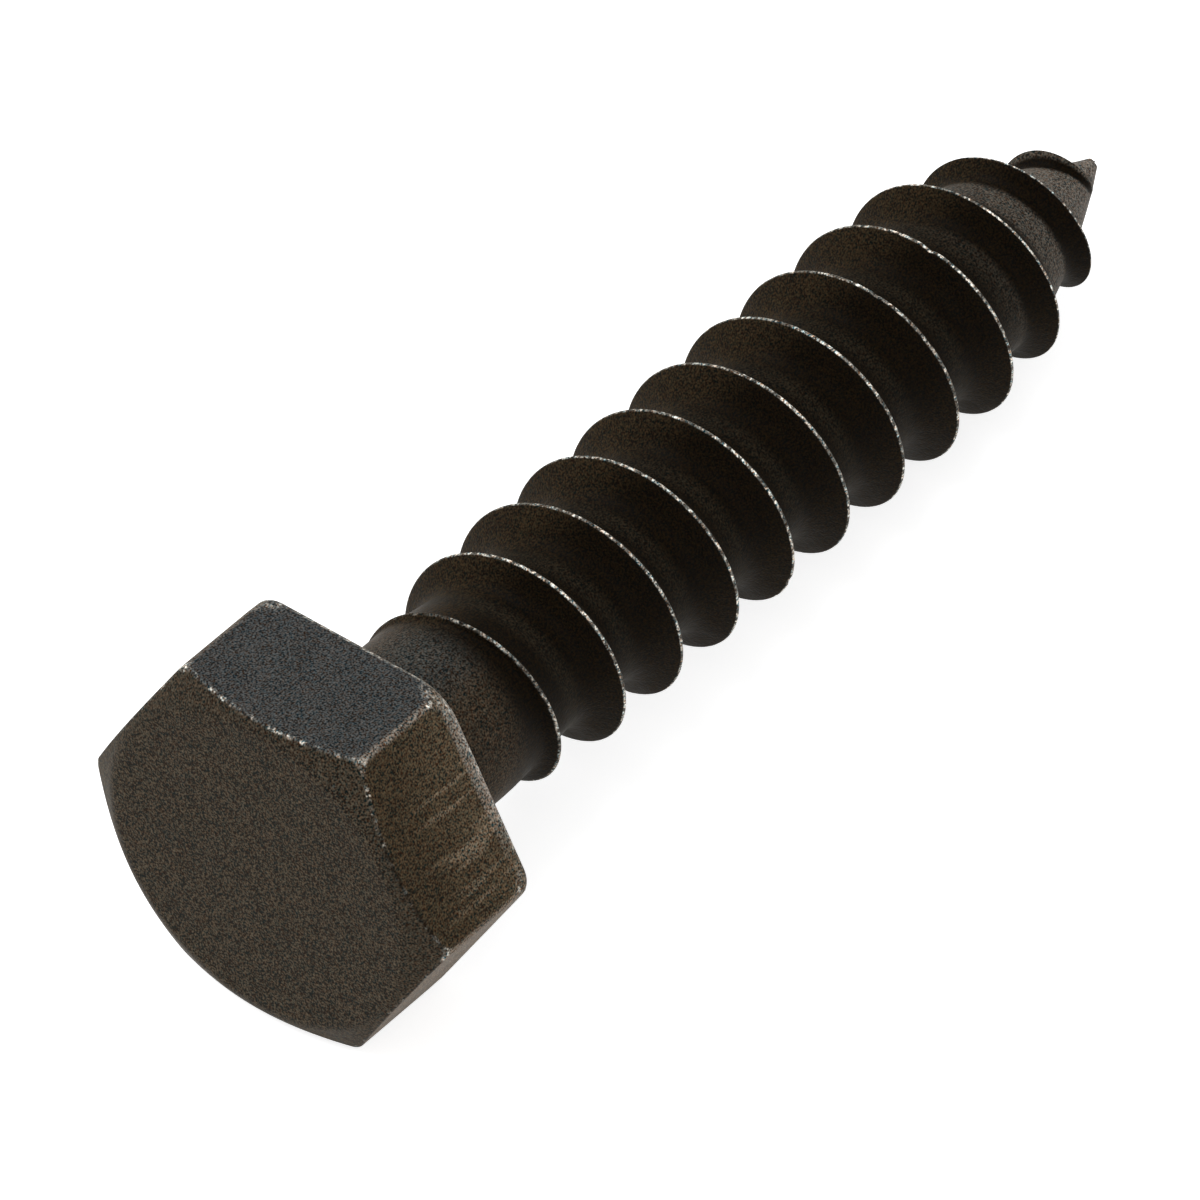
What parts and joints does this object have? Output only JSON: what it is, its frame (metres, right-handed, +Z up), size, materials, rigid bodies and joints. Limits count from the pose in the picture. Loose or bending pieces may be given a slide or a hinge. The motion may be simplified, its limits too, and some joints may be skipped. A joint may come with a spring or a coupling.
{
  "type": "hex head lag screw",
  "caption": "Hex head lag screw in dark oxide steel, lying at rest: chamfered head, short plain shank, coarse right-hand wood thread that runs out towards the head, and a gimlet point.",
  "frame": {"origin": "on the surface that the screw lies on, under the middle of its box", "axes": "+X along the screw from the head to the point, level; +Z up. The screw's own axis dips 4.2 degrees towards the point, as it lies on the head's lower edge and one crest"},
  "size_m": [0.0434, 0.014, 0.0125],
  "materials": {
    "dark_oxide_steel": "dark brown-black oxide, satin, worn bright on the crests of the thread and the edges of the head"
  },
  "bodies": {
    "root": {"lag_screw": "dark_oxide_steel"}
  },
  "joints": []
}
